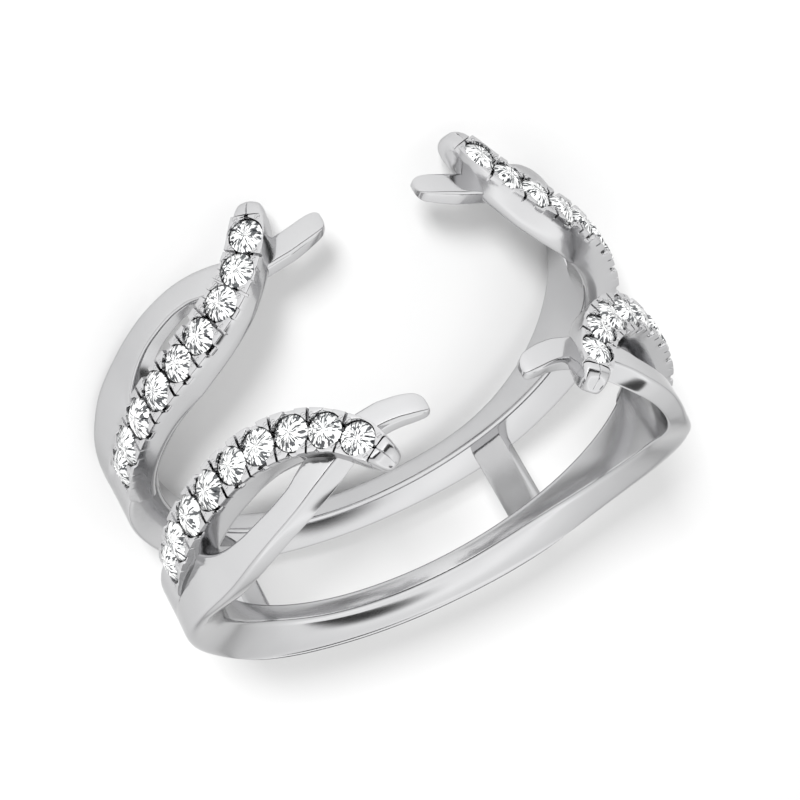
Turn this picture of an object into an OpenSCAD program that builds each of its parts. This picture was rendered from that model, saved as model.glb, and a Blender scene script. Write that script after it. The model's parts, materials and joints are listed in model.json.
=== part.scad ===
// Ring guard: two slim bands joined under the finger, each with two split, stone-set arms.
// It is drawn about its finger axis (Y, head towards +Z), then laid on its side as it rests.

/* [Bands] */
// Radius of the finger hole
hole_r = 8.67; // [8.5:0.01:8.8]
// Outer radius of the bands under the finger
shank_r = 10.15; // [10:0.01:10.3]
// Half of the slot between the bands, at the finger
slot_half = 1.73; // [1.65:0.01:1.8]
// Flat width of a band, at the finger
band_w = 0.82; // [0.75:0.01:0.9]
// How far each band side flares out from the finger to the outside
flare = 0.41; // [0.35:0.01:0.45]
// Rounding of the outer corners of a band
corner = 0.28; // [0.2:0.01:0.32]

/* [Bridge bars] */
// Angle of each bar's middle from the top of the ring
bar_at = 142; // [139:1:144]
// Angle that each bar spans
bar_span = 8.6; // [7:0.2:10]
// Radius of a bar's inside face from the finger axis
bar_r = 9.2; // [9.0:0.05:9.3]
// Thickness of a bar
bar_t = 0.7; // [0.6:0.05:0.75]

/* [Stones] */
// Girdle diameter of the first stone, next to the cap
stone_d_tip = 1.15; // [1.05:0.01:1.16]
// Girdle diameter of the last stone, on the shoulder
stone_d_low = 1.28; // [1.2:0.01:1.3]
// Radius of the girdle centres from the finger axis
girdle_r = 9.9; // [9.86:0.01:9.94]
// Gap between a stone and its seat
seat_gap = 0.04; // [0.03:0.01:0.05]

/* [Stone set strand] */
// Width of the strand
strand_w = 1.66; // [1.6:0.01:1.72]
// Radius of the post tops from the finger axis
post_r = 10.07; // [10:0.01:10.12]
// Radius of the rails beside a stone
rail_r = 9.8; // [9.75:0.01:9.85]
// Radius of the groove's floor under the stones
groove_r = 9.22; // [9.1:0.01:9.28]
// Height of the ridge along the bud cap
ridge_h = 0.1; // [0.05:0.01:0.15]

/* [Rest] */
// Lean of the ring's middle plane when the ring lies on its side
lean = 10.8; // [10.8:0.1:10.8]
// Height of the finger hole's centre above the surface
rest_h = 4.755; // [4.755:0.001:4.755]
// Shift of the ring that centres its footprint
rest_shift = 0.187; // [0.187:0.001:0.187]

/* [Hidden] */
ARM_NAMES = ["front_left", "front_right", "back_left", "back_right"];
ARM_SIGNS = [[-1, -1], [1, -1], [-1, 1], [1, 1]];
STONES = 9;

metal = "gainsboro";
stone_color = "azure";
step = 0.001;          // step for slopes along the strand
inner_r = hole_r - 0.3; // the metal starts here and the finger hole cuts it back
relief = 0.03;          // the arms stand this much further off the finger than the bands
relief_low = -6.34;     // height where that starts, just above the bridge bars
shank_step = 7.5;       // degrees between sections under the finger

// Stone set strand, from the bud cap's end through the nine stones to the low end.
// Columns: angle from the top, distance from the middle plane.
STRAND = [
    [23.6, 5.62],
    [27.4, 4.43],
    [32.3, 3.50],
    [38.6, 2.84],
    [46.2, 2.42],
    [53.7, 2.24],
    [62.1, 2.18],
    [70.9, 2.15],
    [80.1, 2.12],
    [88.6, 2.12],
    [95.5, 2.12]
];

// Columns: place along the strand (1 is the first stone), share of the full width.
STRAND_WIDTH = [[0, 0.16], [0.12, 0.46], [0.28, 0.7], [0.5, 0.88], [1, 0.93], [2, 0.98], [3, 1], [10, 1]];
// Columns: place along the strand, radius of the underside.
STRAND_BELOW = [[0, 9.3], [0.28, 9.12], [0.5, 9.02], [1, 8.92], [2, 8.86], [3, 8.7], [4, inner_r], [10, inner_r]];
// Columns: place along the strand, radius of the bud cap's shoulders.
CAP_TOP = [[0, 9.5], [0.12, 9.72], [0.28, 9.88], [0.5, 10.0]];
CAP_STATIONS = [0, 0.12, 0.28, 0.44];
LOW_CLOSE = 9.56;
ledge_drop = 0.18;   // the groove's walls are upright down to this depth below the girdles
groove_floor = 0.16; // half width of the groove's floor
post_half = 0.34;    // half of the gap between two posts
post_place = 0.46;   // posts and rail ends, as shares of the way to the next stone
rail_place = 0.24;
rail_share = 0.93;   // narrowing of the groove at the rail ends

// Shoulders and bands. Columns: angle, outside edge at the finger, outside edge at the top,
// radius of the top on the outside, radius of the top under the stones.
SHOULDER = [
    [75.8, 5.24, 5.22, 9.50, 9.15],
    [81.0, 5.00, 5.04, 9.70, 9.15],
    [85.0, 4.66, 4.84, 9.90, 9.15],
    [90.0, 4.32, 4.64, 10.10, 9.15],
    [95.0, 4.08, 4.46, 10.22, 9.15],
    [98.0, 3.95, 4.34, 10.26, 10.08],
    [104.0, 3.70, 4.11, 10.28, 10.22],
    [111.0, 3.42, 3.86, 10.28, 10.28],
    [119.0, 3.13, 3.55, 10.30, 10.30],
    [127.0, 2.89, 3.30, 10.34, 10.34],
    [135.0, 2.70, 3.11, 10.42, 10.42]
];
// Columns: angle from the lowest point of the ring, outer radius of the bands
SHANK_TOP = [[0, shank_r], [10, shank_r + 0.02], [19, shank_r + 0.1], [27, shank_r + 0.22], [36, shank_r + 0.32]];
strand_lane = 2.72; // the stone set strand covers the shoulder up to this distance
lane_share = 0.6;   // or up to this share of the top's flat, where that is less
lane_step = 0.12;

// Plain strand, from the shoulder to its leaf tip. Columns: angle, edge towards the slot,
// outside edge at the top, outside edge at the finger, radius of the top, of the underside.
PLAIN = [
    [86.3, 3.52, 4.30, 4.26, 9.36, inner_r],
    [78.6, 3.46, 4.98, 4.96, 9.40, inner_r],
    [73.0, 3.66, 5.16, 5.25, 9.44, inner_r],
    [67.5, 3.94, 5.17, 5.28, 9.43, inner_r],
    [61.0, 4.12, 5.18, 5.30, 9.42, inner_r],
    [53.0, 4.16, 5.13, 5.27, 9.42, inner_r],
    [47.0, 4.05, 5.02, 5.20, 9.42, inner_r],
    [42.5, 3.76, 4.85, 5.07, 9.42, inner_r],
    [38.0, 3.48, 4.62, 4.90, 9.42, inner_r],
    [34.0, 3.34, 4.38, 4.68, 9.40, inner_r],
    [30.0, 3.28, 4.25, 4.45, 9.38, inner_r],
    [26.0, 3.26, 4.22, 4.30, 9.36, inner_r],
    [22.0, 3.27, 4.24, 4.28, 9.33, 8.68],
    [18.5, 3.38, 4.28, 4.30, 9.28, 8.70],
    [15.5, 3.58, 4.33, 4.34, 9.22, 8.74],
    [13.2, 3.80, 4.37, 4.37, 9.14, 8.78],
    [11.6, 4.02, 4.32, 4.32, 9.04, 8.84]
];
plain_corner = 0.16;

// Brilliant cut, as shares of the girdle radius.
table_share = 0.57;
crown_share = 0.32;
girdle_share = 0.06;
culet_share = 0.80;
star_share = 0.8;      // radius of the stars' outer points
star_rise = 0.55;      // their height, as a share of the crown
half_share = 0.42;     // radius of the pavilion's half facets' inner points
half_drop = 0.56;      // their depth, as a share of the pavilion

// Smooth curve through the rows of STRAND
function row(i) = STRAND[max(0, min(len(STRAND) - 1, i))];
function smooth(a, b, c, d, t) =
    0.5 * (2 * b + (c - a) * t + (2 * a - 5 * b + 4 * c - d) * t * t + (3 * b - a - 3 * c + d) * t * t * t);
function strand_row(u) =
    let (i = min(len(STRAND) - 2, max(0, floor(u))), t = u - i)
    smooth(row(i - 1), row(i), row(i + 1), row(i + 2), t);

// Point and directions at an angle from the top of the ring
function out_dir(a) = [sin(a), 0, cos(a)];
function ring_point(a, y, r) = [r * sin(a), y, r * cos(a)];
function strand_point(u) = let (p = strand_row(u)) ring_point(p[0], p[1], girdle_r);
function strand_out(u) = out_dir(strand_row(u)[0]);
function unit(v) = v / norm(v);
function strand_side(u) =
    unit(cross(strand_out(u), strand_point(u + step) - strand_point(u - step)));

// Stone sizes
function stone_r(i) = (stone_d_tip + (stone_d_low - stone_d_tip) * (i - 1) / (STONES - 1)) / 2;

// Closed sweep through sections that all have the same number of points.
// The ends are closed with the given triangles of one section.
function flat(lists) = [for (l = lists) for (p = l) p];
function fan(n) = [for (j = [1:n - 2]) [0, j, j + 1]];
GROOVED_END = [
    [0, 1, 5], [0, 5, 6], [1, 4, 5], [1, 2, 4],
    [2, 3, 4], [0, 6, 7], [0, 7, 9], [7, 8, 9]
];
function sweep_faces(rows, n, end) = concat(
    end,
    [for (k = [0:rows - 2], j = [0:n - 1]) [k * n + j, (k + 1) * n + j, (k + 1) * n + (j + 1) % n]],
    [for (k = [0:rows - 2], j = [0:n - 1]) [k * n + j, (k + 1) * n + (j + 1) % n, k * n + (j + 1) % n]],
    [for (f = end) [for (j = [2:-1:0]) (rows - 1) * n + f[j]]]
);
module sweep(sections, end) {
    polyhedron(
        points = flat(sections),
        faces = sweep_faces(len(sections), len(sections[0]), end),
        convexity = 8
    );
}

// One section of the stone set strand: pairs of side offset and radius
function strand_profile(u, groove, ledge, floor_half, floor_r, top) =
    let (w = strand_w / 2 * lookup(u, STRAND_WIDTH), below = lookup(u, STRAND_BELOW))
    [
        [-w, below], [w, below], [w, top], [groove, top], [groove, ledge],
        [floor_half, floor_r], [-floor_half, floor_r], [-groove, ledge], [-groove, top], [-w, top]
    ];
function strand_section(u, profile) =
    let (p = strand_point(u), s = strand_side(u), o = strand_out(u))
    [for (q = profile) p + s * q[0] + o * (q[1] - girdle_r)];

// Bud cap: the groove turns into a ridge
function cap_section(u) =
    let (w = strand_w / 2 * lookup(u, STRAND_WIDTH), top = lookup(u, CAP_TOP))
    strand_section(u, strand_profile(u, w * 0.8, top + ridge_h * 0.3, w * 0.2, top + ridge_h, top));
// Closed end below the last stone
function low_section(u, top) =
    strand_section(u, strand_profile(u, post_half, top - 0.03, 0.1, top - 0.05, top));
// Open groove: widest at a stone, narrow between two posts
function groove_section(u, half, top) =
    strand_section(u, strand_profile(u, half, girdle_r - ledge_drop, groove_floor, groove_r, top));
function stone_sections(i) =
    let (g = stone_r(i) + seat_gap)
    [
        groove_section(i - post_place, post_half, post_r),
        groove_section(i - rail_place, g * rail_share, rail_r),
        groove_section(i, g, rail_r),
        groove_section(i + rail_place, g * rail_share, rail_r)
    ];

module stone_strand() {
    sweep(concat(
        [for (u = CAP_STATIONS) cap_section(u)],
        flat([for (i = [1:STONES]) stone_sections(i)]),
        [
            groove_section(STONES + post_place, post_half, post_r),
            low_section(LOW_CLOSE, post_r),
            low_section(len(STRAND) - 1, post_r - 0.12)
        ]
    ), GROOVED_END);
}

// Section of a band or shoulder at an angle. The lane under the stones may lie lower.
function band_section(a, out_low, out_top, top, lane_top) =
    let (
        first = slot_half - flare + corner,
        last = out_top - corner,
        lane = min(strand_lane, first + lane_share * (last - first))
    )
    [
        ring_point(a, slot_half, inner_r),
        ring_point(a, out_low, inner_r),
        ring_point(a, out_top, top - corner),
        ring_point(a, last, top),
        ring_point(a, lane + lane_step, top),
        ring_point(a, lane, min(lane_top, top)),
        ring_point(a, first, lane_top),
        ring_point(a, slot_half - flare, lane_top - corner)
    ];
function shoulder_sections(sign) =
    [for (r = SHOULDER) band_section(sign * r[0], r[1], r[2], r[3], r[4])];
function backwards(list) = [for (i = [len(list) - 1:-1:0]) list[i]];
band_out = slot_half + band_w;
shank_sections = [
    for (d = [-4.5 * shank_step:shank_step:4.5 * shank_step])
        let (top = lookup(abs(d), SHANK_TOP))
        band_section(180 + d, band_out, band_out + flare, top, top)
];

module band() {
    sweep(concat(shoulder_sections(1), shank_sections, backwards(shoulder_sections(-1))), fan(8));
}

module plain_strand() {
    sweep([
        for (r = backwards(PLAIN)) [
            ring_point(r[0], r[1], r[5]),
            ring_point(r[0], r[3], r[5]),
            ring_point(r[0], r[2], r[4] - plain_corner),
            ring_point(r[0], r[2] - plain_corner, r[4]),
            ring_point(r[0], r[1] + plain_corner, r[4]),
            ring_point(r[0], r[1], r[4] - plain_corner)
        ]
    ], fan(6));
}

// Bridge bar between the bands, bent about the finger axis
module bar() {
    rotate([90, 0, 0])
        rotate([0, 0, 90 - bar_at - bar_span / 2])
            rotate_extrude(angle = bar_span, $fn = 96)
                translate([bar_r, -slot_half - flare])
                    square([bar_t, 2 * (slot_half + flare)]);
}

// Copy for each of the four arms
module on_arm(signs) {
    mirror([signs[0] < 0 ? 1 : 0, 0, 0])
        mirror([0, signs[1] < 0 ? 1 : 0, 0])
            children();
}

// Lays the ring on its side, with the front band up and the back shoulders on the surface
module lay() {
    translate([0, rest_shift, rest_h])
        rotate([lean - 90, 0, 0])
            children();
}

module guard_mount() {
    color(metal)
        lay()
            difference() {
                union() {
                    band();
                    mirror([0, 1, 0])
                        band();
                    for (signs = ARM_SIGNS)
                        on_arm(signs) {
                            plain_strand();
                            stone_strand();
                        }
                    bar();
                    mirror([1, 0, 0])
                        bar();
                }
                rotate([90, 0, 0]) {
                    cylinder(h = 20, r = hole_r, center = true, $fn = 180);
                    intersection() {
                        cylinder(h = 20, r = hole_r + relief, center = true, $fn = 180);
                        translate([-10, relief_low, -10])
                            cube(20);
                    }
                }
            }
}

// Ring of points for the brilliant cut
function cut_ring(n, r, z, turn) = [for (k = [0:n - 1]) [r * cos(360 * (k + turn) / n), r * sin(360 * (k + turn) / n), z]];
module brilliant(r) {
    crown = crown_share * r;
    half = girdle_share * r / 2;
    depth = culet_share * r;
    points = concat(
        cut_ring(8, table_share * r, half + crown, 0),
        cut_ring(8, star_share * r, half + crown * star_rise, 0.5),
        cut_ring(16, r, half, 0),
        cut_ring(16, r, -half, 0),
        cut_ring(8, half_share * r, -half - depth * half_drop, 0.5),
        [[0, 0, -half - depth]]
    );
    star = 8;
    top_girdle = 16;
    low_girdle = 32;
    lower = 48;
    culet = 56;
    faces = concat(
        [[for (k = [7:-1:0]) k]],
        [for (k = [0:7]) [k, (k + 1) % 8, star + k]],
        [for (k = [0:7]) [k, star + k, top_girdle + 2 * k]],
        [for (k = [0:7]) [k, top_girdle + 2 * k, star + (k + 7) % 8]],
        [for (k = [0:7]) [star + k, top_girdle + 2 * k + 1, top_girdle + 2 * k]],
        [for (k = [0:7]) [star + k, top_girdle + (2 * k + 2) % 16, top_girdle + 2 * k + 1]],
        [for (k = [0:15]) [top_girdle + k, top_girdle + (k + 1) % 16, low_girdle + (k + 1) % 16]],
        [for (k = [0:15]) [top_girdle + k, low_girdle + (k + 1) % 16, low_girdle + k]],
        [for (k = [0:7]) [lower + k, low_girdle + 2 * k, low_girdle + 2 * k + 1]],
        [for (k = [0:7]) [lower + k, low_girdle + 2 * k + 1, low_girdle + (2 * k + 2) % 16]],
        [for (k = [0:7]) [lower + (k + 7) % 8, low_girdle + 2 * k, culet]],
        [for (k = [0:7]) [lower + k, culet, low_girdle + 2 * k]]
    );
    polyhedron(points = points, faces = faces);
}

module stone(signs, i) {
    p = strand_point(i);
    s = strand_side(i);
    o = strand_out(i);
    t = cross(s, o);
    color(stone_color)
        lay()
            on_arm(signs)
                multmatrix([
                    [t[0], s[0], o[0], p[0]],
                    [t[1], s[1], o[1], p[1]],
                    [t[2], s[2], o[2], p[2]],
                    [0, 0, 0, 1]
                ])
                    brilliant(stone_r(i));
}

guard_mount();
for (a = [0:3], i = [1:STONES])
    stone(ARM_SIGNS[a], i);
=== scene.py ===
import json
import math

import bpy
import numpy as np
from mathutils import Matrix, Vector


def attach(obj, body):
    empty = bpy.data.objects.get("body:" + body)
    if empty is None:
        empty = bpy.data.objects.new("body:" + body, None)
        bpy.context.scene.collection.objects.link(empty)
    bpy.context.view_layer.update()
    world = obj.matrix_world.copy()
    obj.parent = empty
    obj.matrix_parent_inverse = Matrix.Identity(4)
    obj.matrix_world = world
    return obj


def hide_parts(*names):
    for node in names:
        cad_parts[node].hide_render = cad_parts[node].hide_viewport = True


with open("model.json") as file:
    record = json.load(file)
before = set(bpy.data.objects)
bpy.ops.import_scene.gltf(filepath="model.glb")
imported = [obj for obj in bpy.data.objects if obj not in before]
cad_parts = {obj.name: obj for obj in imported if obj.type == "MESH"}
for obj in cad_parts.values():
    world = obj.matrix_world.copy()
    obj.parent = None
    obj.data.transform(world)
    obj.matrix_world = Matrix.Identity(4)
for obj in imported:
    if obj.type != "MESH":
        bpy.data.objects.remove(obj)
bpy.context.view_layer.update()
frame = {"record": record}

# the ring's own frame: right, back along the finger, up to the head
fingerHole = next(m for m in frame["record"]["mounts"] if m["name"] == "finger_hole")
ringCentre = np.array(fingerHole["pos_m"])
ringRight = np.array((1.0, 0.0, 0.0))
ringBack = -np.array(fingerHole["axis"])
ringUp = np.cross(ringRight, ringBack)
mm = 0.001


def toRow(points):
    p = np.asarray(points, float)
    return ringCentre + mm * (p[:, :1] * ringRight + p[:, 1:2] * ringBack + p[:, 2:3] * ringUp)


def turnedDir(v):
    return Vector(v[0] * ringRight + v[1] * ringBack + v[2] * ringUp)


def ringPoint(angle, y, r):
    a = math.radians(angle)
    return (r * math.sin(a), y, r * math.cos(a))


def clamped(share):
    return min(1.0, max(0.0, share))


# smooth curve through the rows of a table, first column is the place
def alongTable(rows, x):
    rows = np.asarray(rows, float)
    k = rows[:, 0]
    x = min(max(x, k.min()), k.max())
    i = int(min(max(np.searchsorted(k, x, side="right") - 1, 0), len(k) - 2))
    steps = np.diff(k)[:, None]
    slopes = np.diff(rows[:, 1:], axis=0) / steps

    def tangent(j):
        if j == 0 or j == len(k) - 1:
            return slopes[min(j, len(k) - 2)]
        a, b = slopes[j - 1], slopes[j]
        ha, hb = steps[j - 1], steps[j]
        flat = a * b <= 0
        w1, w2 = 2 * hb + ha, hb + 2 * ha
        mean = (w1 + w2) / (w1 / np.where(flat, 1, a) + w2 / np.where(flat, 1, b))
        return np.where(flat, 0.0, mean)

    h = k[i + 1] - k[i]
    t = (x - k[i]) / h
    p, q = rows[i, 1:], rows[i + 1, 1:]
    return ((2 * t ** 3 - 3 * t * t + 1) * p + (t ** 3 - 2 * t * t + t) * h * tangent(i)
            + (3 * t * t - 2 * t ** 3) * q + (t ** 3 - t * t) * h * tangent(i + 1))


# loop of corners, each rounded over its own distance but never past the middle of an edge
def roundedLoop(corners, rounds, steps):
    c = [np.array(p, float) for p in corners]
    loop = []
    for i, here in enumerate(c):
        before, after = c[i - 1] - here, c[(i + 1) % len(c)] - here
        lb, la = np.linalg.norm(before), np.linalg.norm(after)
        start = here + before * min(rounds[i] / max(lb, 1e-9), 0.49)
        end = here + after * min(rounds[i] / max(la, 1e-9), 0.49)
        for s in range(steps):
            t = s / (steps - 1)
            loop.append((1 - t) ** 2 * start + 2 * t * (1 - t) * here + t * t * end)
    return loop


# skin over loops that all have the same number of points, closed at both ends; its faces point
# outwards where the loops run anticlockwise, seen from the last loop
def skin(loops):
    n = len(loops[0])
    points = [p for loop in loops for p in loop]
    faces = []
    for k in range(len(loops) - 1):
        for j in range(n):
            a, b = k * n + j, k * n + (j + 1) % n
            faces.append((a, b, b + n, a + n))
    faces.append(tuple(range(n - 1, -1, -1)))
    faces.append(tuple(range((len(loops) - 1) * n, len(loops) * n)))
    return points, faces


# the sign of x and y picks the arm; one mirroring alone turns the faces round again
def mirrored(points, faces, x, y):
    points = [(p[0] * x, p[1] * y, p[2]) for p in points]
    return points, ([f[::-1] for f in faces] if x * y < 0 else faces)


def joinedMesh(name, parts):
    allPoints, allFaces = [], []
    for points, faces in parts:
        n = len(allPoints)
        allPoints += [tuple(p) for p in points]
        allFaces += [tuple(i + n for i in f) for f in faces]
    mesh = bpy.data.meshes.new(name)
    mesh.from_pydata(toRow(allPoints).tolist(), [], allFaces)
    mesh.validate()
    return mesh


def linked(name, data):
    obj = bpy.data.objects.new(name, data)
    bpy.context.scene.collection.objects.link(obj)
    return obj


# smooth with edges kept past the angle, or flat facets where there is none
def asPiece(name, mesh, material, sharp=None):
    mesh.materials.clear()
    mesh.materials.append(material)
    if sharp is None:
        mesh.shade_flat()
    else:
        mesh.shade_smooth()
        mesh.set_sharp_from_angle(angle=math.radians(sharp))
    return linked(name, mesh)


# a tree that sets one shape on each point, with its inputs by name
def pointsTree(name, inputs):
    tree = bpy.data.node_groups.new(name, "GeometryNodeTree")
    face = tree.interface
    face.new_socket("Geometry", in_out="INPUT", socket_type="NodeSocketGeometry")
    for socket, kind in inputs.items():
        face.new_socket(socket, in_out="INPUT", socket_type=kind)
    face.new_socket("Geometry", in_out="OUTPUT", socket_type="NodeSocketGeometry")
    return tree, tree.nodes, tree.links, tree.nodes.new("NodeGroupInput")


def pointValue(nodes, name, kind):
    node = nodes.new("GeometryNodeInputNamedAttribute")
    node.data_type = kind
    node.inputs["Name"].default_value = name
    return node.outputs["Attribute"]


def setOnPoints(tree, groupIn, shape, turn, scale, paintName):
    nodes, links = tree.nodes, tree.links
    onPoints = nodes.new("GeometryNodeInstanceOnPoints")
    links.new(groupIn.outputs["Geometry"], onPoints.inputs["Points"])
    links.new(shape, onPoints.inputs["Instance"])
    links.new(turn, onPoints.inputs["Rotation"])
    links.new(scale, onPoints.inputs["Scale"])
    real = nodes.new("GeometryNodeRealizeInstances")
    links.new(onPoints.outputs["Instances"], real.inputs["Geometry"])
    paint = nodes.new("GeometryNodeSetMaterial")
    links.new(real.outputs["Geometry"], paint.inputs["Geometry"])
    links.new(groupIn.outputs[paintName], paint.inputs["Material"])
    links.new(paint.outputs["Geometry"], nodes.new("NodeGroupOutput").inputs["Geometry"])


# what the tree makes of the points, as a plain mesh
def madeMesh(points, tree, values):
    obj = linked(points.name, points)
    modifier = obj.modifiers.new(tree.name, "NODES")
    modifier.node_group = tree
    for socket in tree.interface.items_tree:
        if socket.in_out == "INPUT" and socket.name in values:
            modifier[socket.identifier] = values[socket.name]
    bpy.context.view_layer.update()
    graph = bpy.context.evaluated_depsgraph_get()
    made = bpy.data.meshes.new_from_object(obj.evaluated_get(graph))
    bpy.data.objects.remove(obj)
    return made


print("frame ready")

# finishes

metalFinish = {
    "colour": (0.63, 0.63, 0.635, 1), "shade": (0.56, 0.56, 0.57, 1),
    "edge": (0.72, 0.72, 0.72, 1), "roughLow": 0.11, "roughHigh": 0.16,
    "patch": 420.0, "patchDetail": 3.0, "grain": 5200.0, "bump": 0.015, "bumpDepth": 0.00002,
}


def polishedMetal(look):
    mat = bpy.data.materials.new("polishedWhiteMetal")
    mat.use_nodes = True
    nodes, links = mat.node_tree.nodes, mat.node_tree.links
    shader = nodes["Principled BSDF"]
    shader.inputs["Metallic"].default_value = 1.0
    shader.inputs["Specular Tint"].default_value = look["edge"]
    coords = nodes.new("ShaderNodeTexCoord")
    patch = nodes.new("ShaderNodeTexNoise")
    patch.inputs["Scale"].default_value = look["patch"]
    patch.inputs["Detail"].default_value = look["patchDetail"]
    links.new(coords.outputs["Object"], patch.inputs["Vector"])
    tint = nodes.new("ShaderNodeMix")
    tint.data_type = "RGBA"
    tint.inputs["A"].default_value = look["colour"]
    tint.inputs["B"].default_value = look["shade"]
    links.new(patch.outputs["Fac"], tint.inputs["Factor"])
    links.new(tint.outputs["Result"], shader.inputs["Base Color"])
    gloss = nodes.new("ShaderNodeMapRange")
    gloss.inputs["To Min"].default_value = look["roughLow"]
    gloss.inputs["To Max"].default_value = look["roughHigh"]
    links.new(patch.outputs["Fac"], gloss.inputs["Value"])
    links.new(gloss.outputs["Result"], shader.inputs["Roughness"])
    grain = nodes.new("ShaderNodeTexNoise")
    grain.inputs["Scale"].default_value = look["grain"]
    links.new(coords.outputs["Object"], grain.inputs["Vector"])
    bump = nodes.new("ShaderNodeBump")
    bump.inputs["Strength"].default_value = look["bump"]
    bump.inputs["Distance"].default_value = look["bumpDepth"]
    links.new(grain.outputs["Fac"], bump.inputs["Height"])
    links.new(bump.outputs["Normal"], shader.inputs["Normal"])
    return mat


# colour is the stone's white; the grey and dark tones are painted reflection of dark surroundings seen
# in the facets
stoneFinish = {
    "colour": (0.98, 0.985, 0.98, 1), "grey": (0.62, 0.63, 0.63, 1), "paintedReflectionDark": (0.035, 0.04, 0.045, 1),
    "ior": 2.42, "mirror": 0.4, "clear": 0.15, "wedges": 58.0, "rings": 5.2, "tilt": 0.5,
    "reflectionDarkShare": 0.40, "reflectionGreyShare": 0.24, "cellSpread": 0.95, "seedStep": 7.3,
}


# painted reflection: radial grey and dark strokes in the colour stand in for the dark surroundings
# reflected in the facets seen through the crown; the attribute "cut" is the place on the stone, in its
# own radii, and "seed" is the stone's number
def brilliantStone(look):
    mat = bpy.data.materials.new("brilliantStone")
    mat.use_nodes = True
    nodes, links = mat.node_tree.nodes, mat.node_tree.links
    shader = nodes["Principled BSDF"]
    shader.inputs["Transmission Weight"].default_value = look["clear"]
    shader.inputs["Metallic"].default_value = look["mirror"]
    shader.inputs["Roughness"].default_value = 0.0
    shader.inputs["IOR"].default_value = look["ior"]
    place, seed = nodes.new("ShaderNodeAttribute"), nodes.new("ShaderNodeAttribute")
    place.attribute_name, seed.attribute_name = "cut", "seed"
    split = nodes.new("ShaderNodeSeparateXYZ")
    links.new(place.outputs["Vector"], split.inputs["Vector"])

    def maths(operation, first, second):
        node = nodes.new("ShaderNodeMath")
        node.operation = operation
        for socket, value in zip(node.inputs, (first, second)):
            if isinstance(value, float):
                socket.default_value = value
            else:
                links.new(value, socket)
        return node.outputs["Value"]

    def mixed(share, first, second):
        node = nodes.new("ShaderNodeMix")
        node.data_type = "RGBA"
        links.new(share, node.inputs["Factor"])
        for socket, value in zip((node.inputs["A"], node.inputs["B"]), (first, second)):
            if isinstance(value, tuple):
                socket.default_value = value
            else:
                links.new(value, socket)
        return node.outputs["Result"]

    x, y = split.outputs["X"], split.outputs["Y"]
    around = maths("MULTIPLY", maths("ARCTAN2", y, x), look["wedges"] / (2 * math.pi))
    out = maths("SQRT", maths("ADD", maths("MULTIPLY", x, x), maths("MULTIPLY", y, y)), 0.0)
    polar = nodes.new("ShaderNodeCombineXYZ")
    links.new(around, polar.inputs["X"])
    links.new(maths("MULTIPLY", out, look["rings"]), polar.inputs["Y"])
    links.new(maths("MULTIPLY", seed.outputs["Fac"], look["seedStep"]), polar.inputs["Z"])
    cells = nodes.new("ShaderNodeTexVoronoi")
    cells.inputs["Scale"].default_value = 1.0
    cells.inputs["Randomness"].default_value = look["cellSpread"]
    links.new(polar.outputs["Vector"], cells.inputs["Vector"])
    tone = nodes.new("ShaderNodeSeparateXYZ")
    links.new(cells.outputs["Color"], tone.inputs["Vector"])
    # painted reflection: cells of the stone's colour turned grey and dark, for the dark surroundings
    # mirrored in the facets
    whiteAndPaintedGrey = mixed(maths("LESS_THAN", tone.outputs["Y"], look["reflectionGreyShare"]), look["colour"], look["grey"])
    tint = mixed(maths("LESS_THAN", tone.outputs["X"], look["reflectionDarkShare"]), whiteAndPaintedGrey, look["paintedReflectionDark"])
    links.new(tint, shader.inputs["Base Color"])
    centred = nodes.new("ShaderNodeVectorMath")
    centred.operation = "SUBTRACT"
    centred.inputs[1].default_value = (0.5, 0.5, 0.5)
    links.new(cells.outputs["Color"], centred.inputs[0])
    surface = nodes.new("ShaderNodeNewGeometry")
    lean = nodes.new("ShaderNodeVectorMath")
    lean.operation = "MULTIPLY_ADD"
    lean.inputs[1].default_value = (look["tilt"], look["tilt"], look["tilt"])
    links.new(centred.outputs["Vector"], lean.inputs[0])
    links.new(surface.outputs["Normal"], lean.inputs[2])
    unit = nodes.new("ShaderNodeVectorMath")
    unit.operation = "NORMALIZE"
    links.new(lean.outputs["Vector"], unit.inputs[0])
    links.new(unit.outputs["Vector"], shader.inputs["Normal"])
    return mat


whiteMetal = polishedMetal(metalFinish)
stoneMaterial = brilliantStone(stoneFinish)

# bands with their shoulders and plain strands

holeR = fingerHole["dims"]["r_mm"]

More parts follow.
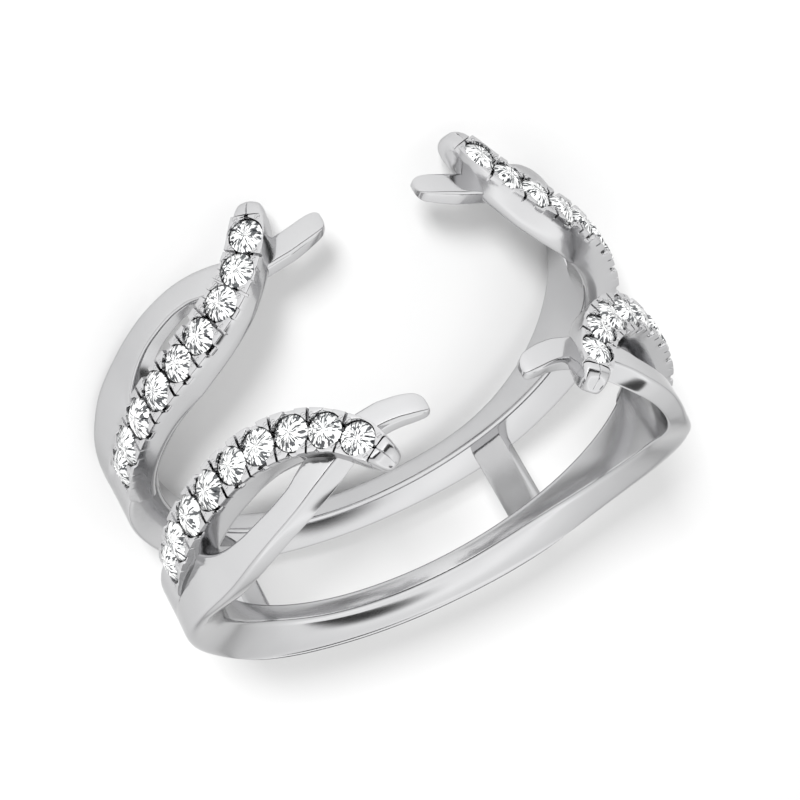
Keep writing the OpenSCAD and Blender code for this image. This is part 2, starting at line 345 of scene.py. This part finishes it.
# angle, slot edge at finger, slot edge at top, outside edge at top, outside edge at finger,
# radius of the top, radius beside the stones, radius under the stones, radius of the underside
bandRows = [
    (11.50, 4.06, 4.05, 4.20, 4.20, 8.98, 8.98, 8.98, 8.86),
    (11.62, 3.92, 3.91, 4.32, 4.32, 9.05, 9.05, 9.05, 8.80),
    (12.20, 3.74, 3.73, 4.40, 4.40, 9.13, 9.13, 9.13, 8.75),
    (13.20, 3.60, 3.59, 4.43, 4.43, 9.20, 9.20, 9.20, 8.72),
    (15.50, 3.46, 3.45, 4.39, 4.40, 9.27, 9.27, 9.27, 8.71),
    (18.5, 3.34, 3.34, 4.30, 4.32, 9.31, 9.31, 9.31, 8.69),
    (22.0, 3.26, 3.26, 4.24, 4.28, 9.33, 9.33, 9.33, 8.68),
    (26.0, 3.26, 3.26, 4.22, 4.30, 9.33, 9.33, 9.33, holeR),
    (30.0, 3.28, 3.28, 4.25, 4.45, 9.31, 9.31, 9.31, holeR),
    (34.0, 3.34, 3.34, 4.38, 4.68, 9.32, 9.32, 9.32, holeR),
    (38.0, 3.48, 3.48, 4.62, 4.90, 9.39, 9.39, 9.39, holeR),
    (42.5, 3.76, 3.76, 4.85, 5.07, 9.43, 9.43, 9.43, holeR),
    (47.0, 4.05, 4.05, 5.02, 5.20, 9.43, 9.43, 9.43, holeR),
    (53.0, 4.16, 4.16, 5.13, 5.27, 9.43, 9.43, 9.43, holeR),
    (61.0, 4.12, 4.12, 5.18, 5.30, 9.43, 9.43, 9.43, holeR),
    (67.5, 3.94, 3.94, 5.18, 5.25, 9.44, 9.44, 9.44, holeR),
    (73.0, 3.62, 3.62, 5.15, 5.14, 9.49, 9.46, 9.46, holeR),
    (77.0, 3.20, 3.20, 5.10, 5.01, 9.60, 9.52, 9.50, holeR),
    (81.0, 2.60, 2.55, 5.00, 4.84, 9.76, 9.58, 9.52, holeR),
    (85.0, 1.90, 1.80, 4.86, 4.63, 9.93, 9.68, 9.52, holeR),
    (90.0, 1.73, 1.38, 4.66, 4.34, 10.08, 9.84, 9.56, holeR),
    (95.0, 1.73, 1.32, 4.47, 4.09, 10.20, 10.04, 9.86, holeR),
    (98.0, 1.73, 1.32, 4.35, 3.96, 10.25, 10.12, 10.04, holeR),
    (104.0, 1.73, 1.32, 4.12, 3.71, 10.28, 10.24, 10.22, holeR),
    (111.0, 1.73, 1.32, 3.86, 3.42, 10.28, 10.28, 10.28, holeR),
    (119.0, 1.73, 1.32, 3.55, 3.13, 10.30, 10.30, 10.30, holeR),
    (127.0, 1.73, 1.32, 3.30, 2.89, 10.34, 10.34, 10.34, holeR),
    (135.0, 1.73, 1.32, 3.11, 2.70, 10.42, 10.42, 10.42, holeR),
    (144.0, 1.73, 1.32, 3.00, 2.58, 10.46, 10.46, 10.46, holeR),
    (153.0, 1.73, 1.32, 2.96, 2.55, 10.37, 10.37, 10.37, holeR),
    (161.0, 1.73, 1.32, 2.96, 2.55, 10.25, 10.25, 10.25, holeR),
    (170.0, 1.73, 1.32, 2.96, 2.55, 10.17, 10.17, 10.17, holeR),
    (180.0, 1.73, 1.32, 2.96, 2.55, 10.15, 10.15, 10.15, holeR),
    (190.0, 1.73, 1.32, 2.96, 2.55, 10.17, 10.17, 10.17, holeR),
]
# angle, rounding of the outside top edge, of the slot side top edge, of the finger edges,
# swell of the outside wall
edgeRows = [
    (11.5, 0.06, 0.05, 0.04, 0.0), (14, 0.12, 0.10, 0.06, 0.01), (24, 0.16, 0.16, 0.08, 0.02),
    (40, 0.15, 0.17, 0.09, 0.02), (56, 0.15, 0.17, 0.10, 0.02), (66, 0.18, 0.16, 0.11, 0.03),
    (74, 0.24, 0.16, 0.12, 0.03), (82, 0.34, 0.2, 0.13, 0.04), (90, 0.42, 0.24, 0.14, 0.04),
    (104, 0.45, 0.26, 0.16, 0.05), (120, 0.42, 0.26, 0.17, 0.06), (140, 0.38, 0.26, 0.18, 0.06),
    (160, 0.36, 0.26, 0.18, 0.06), (190, 0.36, 0.26, 0.18, 0.06),
]
# beside and under are the top and the foot of the step between the plain strand and the shelf under
# the stones: distance from the middle plane, or where the slot is too wide for that, share of the
# shelf past the slot's edge; places are angles, first those of the leaf tip, then runs with their step
bandLook = {
    "besideStones": 3.08, "besideShare": 0.45, "besideRound": 0.06,
    "underStones": 2.85, "underShare": 0.35, "underRound": 0.03, "shelf": 1.2,
    "tipPlaces": (11.5, 11.54, 11.62, 11.75, 11.92, 12.15, 12.4, 12.7, 13.0, 13.4, 13.8),
    "placeRuns": ((14.2, 24, 0.6), (24, 100, 1.0), (100, 181, 2.0)),
    "cornerSteps": 7, "wallSteps": 7,
}


def bandSection(angle, look):
    slotLow, slotTop, outTop, outLow, top, beside, under, low = alongTable(bandRows, angle)
    topRound, slotRound, fingerRound, swell = alongTable(edgeRows, angle)
    near = min(look["shelf"], outTop - slotTop)
    corners = [
        (slotLow, low), (outLow, low), (outTop, top),
        (max(look["besideStones"], slotTop + look["besideShare"] * near), beside),
        (max(look["underStones"], slotTop + look["underShare"] * near), under), (slotTop, under),
    ]
    rounds = [fingerRound, fingerRound, topRound, look["besideRound"], look["underRound"], slotRound]
    steps = look["cornerSteps"]
    loop = roundedLoop(corners, rounds, steps)
    wallLow, wallTop = loop[2 * steps - 1], loop[2 * steps]      # the outside wall, split for its swell
    wall = [wallLow + (wallTop - wallLow) * k / look["wallSteps"] for k in range(1, look["wallSteps"])]
    loop[2 * steps:2 * steps] = wall
    middle = (slotTop + outTop) / 2
    section = []
    for y, r in loop:
        share = clamped((r - low) / (top - low))
        if y > middle:
            y += swell * 4 * share * (1 - share)
        section.append(ringPoint(angle, y, r))
    return section


# one side from its leaf tip to the shank's bottom, then the same mirrored back up to the other tip
def bandPart(look):
    places = list(look["tipPlaces"]) + [a for run in look["placeRuns"] for a in np.arange(*run)]
    half = [bandSection(a, look) for a in places]
    other = [[(-p[0], p[1], p[2]) for p in loop] for loop in half[-2::-1]]
    return skin(half + other)


bandBack = bandPart(bandLook)
bandFront = mirrored(*bandBack, 1, -1)
print("bands ready")

# stone set strands

# angle, distance from the middle plane: bud cap's end, nine stones, low end
strandRows = np.array([
    (23.4, 5.74), (27.4, 4.43), (32.3, 3.50), (38.6, 2.84), (46.2, 2.42), (53.7, 2.24),
    (62.1, 2.18), (70.9, 2.15), (80.1, 2.12), (88.6, 2.12), (97.0, 2.12),
])
# rounds go with the corners in strandLoop, in turn
strandLook = {
    "startAt": -0.53, "width": 1.66, "girdleR": 9.9, "postR": 10.04, "notchR": 9.80,
    "slitDepth": 0.20, "rimLeast": 0.05,
    "seatGap": 0.03, "postInner": 0.34, "ledgeUnderGirdle": 0.14, "ledgeUnderTop": 0.04,
    "grooveHalf": 0.14, "floorR": 9.2, "floorUnderLedge": 0.03,
    "closeFrom": 0.3, "closeOver": 0.15, "closeHalf": 0.06,        # the groove, ahead of the first stone
    "endInner": 0.3, "endLedge": 0.02, "endGroove": 0.1,           # the groove, behind the last stone
    "tuckFrom": 5.5,                                               # the finger edges draw in from here
    "tuckLow": 0.44, "tuckLowOver": 4.0, "tuckHigh": 0.12, "tuckHighOver": 3.0,
    "wallStart": 9.62, "bellyTop": 9.45, "bellyShare": 0.45, "belly": 0.01, "cornerSteps": 3,
    "rounds": (0.1, 0.1, 0.2, 0.01, 0.04, 0.03, 0.02, 0.05, 0.05, 0.02, 0.03, 0.04, 0.01, 0.2),
}
# for each stone, from the cap to the shoulder: its width, and how deep the windows beside it and
# the slits at its posts are cut, 1 being the full depth
stoneSizes = (1.22, 1.24, 1.28, 1.30, 1.30, 1.40, 1.46, 1.46, 1.44)
windowShare = (0, 0.3, 0.6, 1, 1, 1, 1, 0.5, 0.1)
slitShare = (1, 1, 1, 1, 1, 1, 0.9, 0.5, 0.1)
stoneCount = len(stoneSizes)
# place along the strand, share of the width
widthRows = [
    (0, 0.12), (0.03, 0.24), (0.08, 0.36), (0.16, 0.47), (0.28, 0.57), (0.5, 0.68), (0.75, 0.79),
    (1, 0.84), (1.5, 0.87), (2, 0.92), (3, 0.99), (4, 1), (10, 1),
]
# place along the strand, radius of the underside
belowRows = [
    (0, 9.34), (0.12, 9.2), (0.28, 9.1), (0.5, 9.02), (1, 8.92), (2, 8.86), (3, 8.72), (4, holeR),
    (10, holeR),
]
# the low end behind the last stone: place along the strand, how far its top has come down
lowEnd = ((9.53, 0.01), (9.6, 0.03), (9.68, 0.07), (9.76, 0.13), (9.85, 0.21), (10.0, 0.36))
# the signs of an arm's side, left or right, and of its band, front or back
armNames = {(-1, -1): "front_left", (1, -1): "front_right", (-1, 1): "back_left", (1, 1): "back_right"}


# angle and distance at place u, where the cap's end is 0 and the stones are 1 to 9
def strandRow(u):
    last = len(strandRows) - 1
    i = int(min(last - 1, max(0, math.floor(u))))
    t = u - i
    a, b, c, d = (strandRows[max(0, min(last, i + k))] for k in (-1, 0, 1, 2))
    bend, twist = 2 * a - 5 * b + 4 * c - d, 3 * b - a - 3 * c + d
    return 0.5 * (2 * b + (c - a) * t + bend * t * t + twist * t ** 3)


def strandPoint(u, look):
    angle, y = strandRow(u)
    return np.array(ringPoint(angle, y, look["girdleR"]))


def strandFrame(u, look):
    a = math.radians(strandRow(u)[0])
    out = np.array((math.sin(a), 0, math.cos(a)))
    step = 0.001
    along = strandPoint(u + step, look) - strandPoint(u - step, look)
    side = np.cross(out, along)
    return strandPoint(u, look), side / np.linalg.norm(side), out


# profile across the strand: sideways, radius
def placed(u, profile, look):
    p, side, out = strandFrame(u, look)
    return [tuple(p + side * q + out * (r - look["girdleR"])) for q, r in profile]


def stoneR(i):
    return stoneSizes[i - 1] / 2


# from a stone to half way to the next: place, how far the side wall's top is cut down from the
# posts to the window, or -1 in the slit
halfPitch = [
    (0.0, 1.0), (0.06, 1.0), (0.10, 0.98), (0.125, 0.85), (0.14, 0.45), (0.15, 0.12), (0.17, 0.02),
    (0.22, 0), (0.28, 0), (0.33, 0), (0.38, 0), (0.42, 0), (0.460, 0), (0.474, -1), (0.500, -1),
]
pitchSteps = [(-t, depth) for t, depth in halfPitch[:0:-1]] + halfPitch


def strandWidth(u, look):
    return look["width"] / 2 * alongTable(widthRows, u)[0]


def strandLoop(u, wallTop, inner, ledge, floorHalf, floorR, look):
    w = strandWidth(u, look)
    below = alongTable(belowRows, u)[0]
    outTuck = look["tuckHigh"] * clamped((look["tuckFrom"] - u) / look["tuckHighOver"])
    slotTuck = look["tuckLow"] * clamped((u - look["tuckFrom"]) / look["tuckLowOver"]) + outTuck
    body = below + look["bellyShare"] * (look["bellyTop"] - below)
    wide, start = w + look["belly"], look["wallStart"]
    inner = min(inner, w - look["rimLeast"])
    corners = [
        (-w + slotTuck, below), (w - outTuck, below), (wide, body), (w, start), (w, wallTop),
        (inner, wallTop), (inner, ledge), (floorHalf, floorR),
        (-floorHalf, floorR), (-inner, ledge), (-inner, wallTop),
        (-w, wallTop), (-w, start), (-wide, body),
    ]
    return placed(u, roundedLoop(corners, look["rounds"], look["cornerSteps"]), look)


# the seat follows the stone's round outline; ahead of the first stone it closes
def setLoop(i, t, depth, look):
    postR, floorR = look["postR"], look["floorR"]
    notchR = postR + (look["notchR"] - postR) * windowShare[i - 1]
    wallTop = postR + (notchR - postR) * depth
    if depth < 0:
        wallTop = postR - look["slitDepth"] * slitShare[i - 1]
    g = stoneR(i) + look["seatGap"]
    away = np.linalg.norm(strandPoint(i + t, look) - strandPoint(i, look))
    outline = math.sqrt(max(0.0, g * g - away * away))
    ledge = min(look["girdleR"] - look["ledgeUnderGirdle"], wallTop - look["ledgeUnderTop"])
    ahead = -look["closeFrom"] - t
    if i > 1 or ahead <= 0:
        inner = max(outline, look["postInner"])
        return strandLoop(i + t, wallTop, inner, ledge, look["grooveHalf"], floorR, look)
    inner = max(outline, look["closeHalf"])
    floorR += (ledge - look["floorUnderLedge"] - floorR) * clamped(ahead / look["closeOver"])
    return strandLoop(i + t, wallTop, inner, ledge, min(look["grooveHalf"], inner / 2), floorR, look)


def strandPart(look):
    loops = [setLoop(1, look["startAt"], -1, look)]
    for i in range(1, stoneCount + 1):
        for t, depth in pitchSteps[(1 if i > 1 else 0):]:      # two stones share the slit between them
            loops.append(setLoop(i, t, depth, look))
    for u, drop in lowEnd:
        top = look["postR"] - drop
        ledge, floorR = top - look["endLedge"], top - look["floorUnderLedge"]
        loops.append(strandLoop(u, top, look["endInner"], ledge, look["endGroove"], floorR, look))
    return skin(loops)


strandBody = strandPart(strandLook)
print("strands ready")

# bud caps over the strands' ends

# place along the strand, radius of the shoulders, height of the ridge
capRows = [
    (0.0, 9.42, 0.03), (0.03, 9.50, 0.05), (0.08, 9.60, 0.09), (0.14, 9.72, 0.14),
    (0.22, 9.82, 0.15), (0.32, 9.90, 0.13), (0.42, 9.96, 0.09), (0.52, 9.98, 0.06),
]
capLook = {
    "places": (
        0.0, 0.01, 0.025, 0.045, 0.07, 0.10, 0.13, 0.16, 0.20, 0.25, 0.30, 0.36, 0.42, 0.48, 0.515,
    ),
    "over": 1.01, "below": 0.005, "footShare": 0.86, "shoulderShare": 0.9, "sideShare": 0.45,
    "ridgeHalf": 0.03, "creaseDepth": 0.05, "cornerSteps": 5,
    "rounds": (0.12, 0.12, 0.25, 0.16, 0.01, 0.01, 0.01, 0.16, 0.25),
}


def capPart(look):
    loops = []
    for u in look["places"]:
        w = strandWidth(u, strandLook) * look["over"]
        foot, broad, ridge = w * look["footShare"], w * look["shoulderShare"], look["ridgeHalf"]
        below = alongTable(belowRows, u)[0] - look["below"]
        shoulder, rise = alongTable(capRows, u)
        side, top = below + (shoulder - below) * look["sideShare"], shoulder + rise
        corners = [
            (-foot, below), (foot, below), (w, side), (broad, shoulder), (ridge, top),
            (0, top - look["creaseDepth"]), (-ridge, top), (-broad, shoulder), (-w, side),
        ]
        loops.append(placed(u, roundedLoop(corners, look["rounds"], look["cornerSteps"]), strandLook))
    return skin(loops)


budCap = capPart(capLook)
print("caps ready")

# bridge bars

barLook = {
    "at": 142.0, "span": 8.6, "r": 9.2, "thick": 0.7, "reach": 2.1,
    "round": 0.06, "roundShare": 0.3, "curveSteps": 7, "lengthSteps": 9,
}


def barPart(look):
    lo, hi = look["at"] - look["span"] / 2, look["at"] + look["span"] / 2
    low, top, b = look["r"], look["r"] + look["thick"], look["round"]
    turn = math.degrees(b / low)
    flat = np.linspace(lo + turn, hi - turn, look["curveSteps"])
    nearTurn, near = look["roundShare"] * turn, look["roundShare"] * b
    section = [(a, low) for a in flat] + [
        (hi - nearTurn, low + near), (hi, low + b), (hi, top - b), (hi - nearTurn, top - near),
    ] + [(a, top) for a in flat[::-1]] + [
        (lo + nearTurn, top - near), (lo, top - b), (lo, low + b), (lo + nearTurn, low + near),
    ]
    along = np.linspace(look["reach"], -look["reach"], look["lengthSteps"])
    return skin([[ringPoint(a, y, r) for a, r in section] for y in along])


bridgeBar = barPart(barLook)
print("bars ready")

# claws over the stones' edges

# size is a bead's radius and height its share of that; along is how far the bead stands from its
# stone, in pitches, across how far from the strand's middle, and r the radius of its middle
clawLook = {
    "size": 0.10, "height": 0.6, "along": 0.395, "across": 0.56, "r": 10.03, "sides": 12, "rings": 8,
}


def clawTree(look):
    tree, nodes, links, groupIn = pointsTree("clawBeads", {
        "Bead radius": "NodeSocketFloat", "Height share": "NodeSocketFloat",
        "Metal": "NodeSocketMaterial",
    })
    bead = nodes.new("GeometryNodeMeshUVSphere")
    bead.inputs["Segments"].default_value = look["sides"]
    bead.inputs["Rings"].default_value = look["rings"]
    links.new(groupIn.outputs["Bead radius"], bead.inputs["Radius"])
    turn = nodes.new("FunctionNodeAlignRotationToVector")
    turn.axis = "Z"
    links.new(pointValue(nodes, "outward", "FLOAT_VECTOR"), turn.inputs["Vector"])
    scale = nodes.new("ShaderNodeCombineXYZ")
    scale.inputs["X"].default_value = 1.0
    scale.inputs["Y"].default_value = 1.0
    links.new(groupIn.outputs["Height share"], scale.inputs["Z"])
    size = scale.outputs["Vector"]
    setOnPoints(tree, groupIn, bead.outputs["Mesh"], turn.outputs["Rotation"], size, "Metal")
    return tree


def clawMesh(look, material):
    points, outs = [], []
    for x, y in armNames:
        for i in range(1, stoneCount + 1):
            for along in (-1, 1):
                u = i + along * look["along"]
                p, side, out = strandFrame(u, strandLook)
                reach = look["across"] * alongTable(widthRows, u)[0]
                for across in (-1, 1):
                    q = p + side * across * reach + out * (look["r"] - strandLook["girdleR"])
                    points.append((q[0] * x, q[1] * y, q[2]))
                    outs.append(tuple(turnedDir((out[0] * x, out[1] * y, out[2]))))
    mesh = bpy.data.meshes.new("clawPoints")
    mesh.from_pydata(toRow(points).tolist(), [], [])
    outward = mesh.attributes.new("outward", "FLOAT_VECTOR", "POINT")
    outward.data.foreach_set("vector", [c for o in outs for c in o])
    values = {"Bead radius": look["size"] * mm, "Height share": look["height"], "Metal": material}
    return madeMesh(mesh, clawTree(look), values)


clawBeads = asPiece("clawBeads", clawMesh(clawLook, whiteMetal), whiteMetal, sharp=60)
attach(clawBeads, "root")
print("claws ready", len(clawBeads.data.polygons))

# bands, bars, strands and caps as one metal piece

metalParts = [bandBack, bandFront, bridgeBar, mirrored(*bridgeBar, -1, 1)]
for x, y in armNames:
    metalParts += [mirrored(*strandBody, x, y), mirrored(*budCap, x, y)]
ringMetal = asPiece("ringMetal", joinedMesh("ringMetal", metalParts), whiteMetal, sharp=32)
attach(ringMetal, "root")
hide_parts("guard_mount")
print("metal ready", len(ringMetal.data.polygons))

# round brilliants, one cut repeated over the four arms

# in shares of the stone's radius; half is where the long facets below the girdle end
cutLook = {
    "table": 0.56, "star": 0.78, "crown": 0.30, "starRise": 0.52, "girdle": 0.05,
    "half": 0.5, "depth": 0.80,
}


def cutRing(count, r, z, turn):
    steps = [2 * math.pi * (k + turn) / count for k in range(count)]
    return [(r * math.cos(a), r * math.sin(a), z) for a in steps]


def brilliantCut(look):
    half, crown, depth = look["girdle"] / 2, look["crown"], look["depth"]
    points = (
        cutRing(8, look["table"], half + crown, 0)
        + cutRing(8, look["star"], half + crown * look["starRise"], 0.5)
        + cutRing(16, 1.0, half, 0) + cutRing(16, 1.0, -half, 0)
        + cutRing(8, look["half"], -half - depth * (1 - look["half"]), 0.5) + [(0, 0, -half - depth)]
    )
    star, upper, lower, under, culet = 8, 16, 32, 48, 56      # where each ring's points begin
    faces = [tuple(range(8))]
    for k in range(8):
        j, k2 = (k + 1) % 8, 2 * k
        faces += [
            (j, k, star + k), (k, star + (k + 7) % 8, upper + k2, star + k),
            (star + k, upper + k2, upper + k2 + 1), (star + k, upper + k2 + 1, upper + (k2 + 2) % 16),
            (under + k, lower + k2 + 1, lower + k2), (under + k, lower + (k2 + 2) % 16, lower + k2 + 1),
            (under + (k + 7) % 8, under + k, lower + k2), (under + (k + 7) % 8, culet, under + k),
        ]
    faces += [(upper + k, lower + k, lower + (k + 1) % 16, upper + (k + 1) % 16) for k in range(16)]
    mesh = bpy.data.meshes.new("brilliantCut")
    mesh.from_pydata(points, [], faces)
    mesh.validate()
    return linked("brilliantCut", mesh)


def stoneTree():
    tree, nodes, links, groupIn = pointsTree("setStones", {
        "Cut": "NodeSocketObject", "Stone": "NodeSocketMaterial",
    })
    cut = nodes.new("GeometryNodeObjectInfo")
    links.new(groupIn.outputs["Cut"], cut.inputs["Object"])
    keep = nodes.new("GeometryNodeStoreNamedAttribute")
    keep.data_type = "FLOAT_VECTOR"
    keep.inputs["Name"].default_value = "cut"
    links.new(cut.outputs["Geometry"], keep.inputs["Geometry"])
    links.new(nodes.new("GeometryNodeInputPosition").outputs["Position"], keep.inputs["Value"])
    turn = nodes.new("FunctionNodeEulerToRotation")
    links.new(pointValue(nodes, "turn", "FLOAT_VECTOR"), turn.inputs["Euler"])
    size = pointValue(nodes, "radius", "FLOAT")
    setOnPoints(tree, groupIn, keep.outputs["Geometry"], turn.outputs["Rotation"], size, "Stone")
    return tree


def stoneMesh(look, material):
    places, turns, sizes, names = [], [], [], []
    for (x, y), armName in armNames.items():
        for i in range(1, stoneCount + 1):
            p, side, out = strandFrame(i, strandLook)
            side, out = (turnedDir(v * (x, y, 1)).normalized() for v in (side, out))
            turn = Matrix((side, out.cross(side), out)).transposed().to_euler()
            places.append(toRow([p * (x, y, 1)])[0].tolist())
            turns += list(turn)
            sizes.append(stoneR(i) * mm)
            names.append("stone_" + armName + "_" + str(i))
    mesh = bpy.data.meshes.new("stonePlaces")
    mesh.from_pydata(places, [], [])
    mesh.attributes.new("turn", "FLOAT_VECTOR", "POINT").data.foreach_set("vector", turns)
    mesh.attributes.new("radius", "FLOAT", "POINT").data.foreach_set("value", sizes)
    seeds = [float(k) for k in range(len(sizes))]
    mesh.attributes.new("seed", "FLOAT", "POINT").data.foreach_set("value", seeds)
    cut = brilliantCut(look)
    made = madeMesh(mesh, stoneTree(), {"Cut": cut, "Stone": material})
    bpy.data.objects.remove(cut)
    return made, names


stoneCuts, stoneNodes = stoneMesh(cutLook, stoneMaterial)
brilliants = asPiece("brilliants", stoneCuts, stoneMaterial)
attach(brilliants, "root")
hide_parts(*stoneNodes)
print("stones ready", len(brilliants.data.polygons))

# studio: floor, light, camera

studio = {
    "floor": 0.6, "floorTone": 0.62, "floorRough": 0.9, "world": 1.0,      # lengths in metres
    "sky": [
        (0.0, 0.60), (0.045, 0.66), (0.09, 0.84), (0.20, 0.92), (0.36, 1.0), (0.55, 1.12),
        (0.68, 1.38), (0.82, 1.25), (1.0, 1.2),
    ],
    "keyAzimuth": 112.0, "keyHeight": 27.0, "keyFar": 0.34, "keyAim": (0, 0, 0.004),
    "keySize": (0.045, 0.045), "keyPower": 1.75,
    "cardTone": 0.02, "cardTop": (0.16, 0.24), "cardSide": (0.28, 0.55),
    "streakFrom": (0.385, -0.575, 0.72), "streakSize": (0.986, 0.997),
}


def grey(tone):
    return (tone, tone, tone, 1)


# flat floor, level with the metal's lowest point
def floorPiece(look):
    mesh = bpy.data.meshes.new("studioFloor")
    s, z = look["floor"], min(0.0, min(v.co.z for v in ringMetal.data.vertices))
    mesh.from_pydata([(-s, -s, z), (s, -s, z), (s, s, z), (-s, s, z)], [], [(0, 1, 2, 3)])
    mat = bpy.data.materials.new("paleFloor")
    mat.use_nodes = True
    shader = mat.node_tree.nodes["Principled BSDF"]
    shader.inputs["Base Color"].default_value = grey(look["floorTone"])
    shader.inputs["Roughness"].default_value = look["floorRough"]
    shader.inputs["Specular IOR Level"].default_value = 0.0
    mesh.materials.append(mat)
    linked("studioFloor", mesh)


floorPiece(studio)


def worldLight(look):
    world = bpy.data.worlds.new("softStudio")
    world.use_nodes = True
    nodes, links = world.node_tree.nodes, world.node_tree.links
    back = nodes["Background"]
    coords = nodes.new("ShaderNodeTexCoord")
    split = nodes.new("ShaderNodeSeparateXYZ")
    links.new(coords.outputs["Generated"], split.inputs["Vector"])
    ramp = nodes.new("ShaderNodeValToRGB")
    ramp.color_ramp.interpolation = "EASE"
    stops = look["sky"]      # height in the sky, brightness
    elements = ramp.color_ramp.elements
    while len(elements) < len(stops):
        elements.new(0.5)
    for e, (pos, tone) in zip(elements, stops):
        e.position, e.color = pos, grey(tone)
    links.new(split.outputs["Z"], ramp.inputs["Fac"])

    def fade(source, start, end):
        node = nodes.new("ShaderNodeMapRange")
        node.interpolation_type = "SMOOTHSTEP"
        node.inputs["From Min"].default_value, node.inputs["From Max"].default_value = start, end
        links.new(source, node.inputs["Value"])
        return node.outputs["Result"]

    def darkCard(colour, share):
        node = nodes.new("ShaderNodeMix")
        node.data_type = "RGBA"
        node.inputs["B"].default_value = grey(look["cardTone"])
        links.new(share, node.inputs["Factor"])
        links.new(colour, node.inputs["A"])
        return node.outputs["Result"]

    # a dark card low on one side draws the fine dark lines along the rounded edges
    low = fade(split.outputs["Z"], *look["cardTop"][::-1])
    side = fade(split.outputs["Y"], *look["cardSide"])
    card = nodes.new("ShaderNodeMath")
    card.operation = "MULTIPLY"
    links.new(low, card.inputs[0])
    links.new(side, card.inputs[1])
    shaded = darkCard(ramp.outputs["Color"], card.outputs["Value"])
    # a small dark card opposite draws the long streak on each band's wall
    toward = nodes.new("ShaderNodeVectorMath")
    toward.operation = "DOT_PRODUCT"
    toward.inputs[1].default_value = Vector(look["streakFrom"]).normalized()
    links.new(coords.outputs["Generated"], toward.inputs[0])
    streaked = darkCard(shaded, fade(toward.outputs["Value"], *look["streakSize"]))
    links.new(streaked, back.inputs["Color"])
    back.inputs["Strength"].default_value = look["world"]
    bpy.context.scene.world = world


worldLight(studio)


def keySoftbox(look):
    data = bpy.data.lights.new("keySoftbox", "AREA")
    data.shape = "RECTANGLE"
    data.size, data.size_y = look["keySize"]
    data.energy = look["keyPower"]
    turn, lift = math.radians(look["keyAzimuth"]), math.radians(look["keyHeight"])
    obj = linked("keySoftbox", data)
    obj.location = look["keyFar"] * Vector((
        math.cos(turn) * math.cos(lift), math.sin(turn) * math.cos(lift), math.sin(lift)))
    obj.rotation_mode = "QUATERNION"
    obj.rotation_quaternion = (Vector(look["keyAim"]) - obj.location).to_track_quat("-Z", "Y")
    obj.visible_glossy = False      # it gives the shadows, the pale studio gives the reflections


keySoftbox(studio)

# the camera at the photograph's angle, lengths in mm in the ring's frame
cameraPlace = {
    "position": (-36.25, -50.33, 98.89), "right": (0.891, -0.4419, 0.1038),
    "down": (-0.327, -0.7834, -0.5285), "lens": 143.0, "sensor": 36.0, "clip": (0.001, 10.0),
}


def makeCamera(look):
    data = bpy.data.cameras.new("camera")
    data.lens, data.sensor_width = look["lens"], look["sensor"]
    data.clip_start, data.clip_end = look["clip"]
    obj = linked("camera", data)
    right = turnedDir(look["right"]).normalized()
    up = -turnedDir(look["down"])
    back = right.cross(up).normalized()
    up = back.cross(right)
    turn = Matrix((right, up, back)).transposed().to_4x4()
    turn.translation = Vector(toRow([look["position"]])[0])
    obj.matrix_world = turn
    bpy.context.scene.camera = obj


makeCamera(cameraPlace)
bpy.context.scene.view_settings.view_transform = "Standard"
print("studio ready")
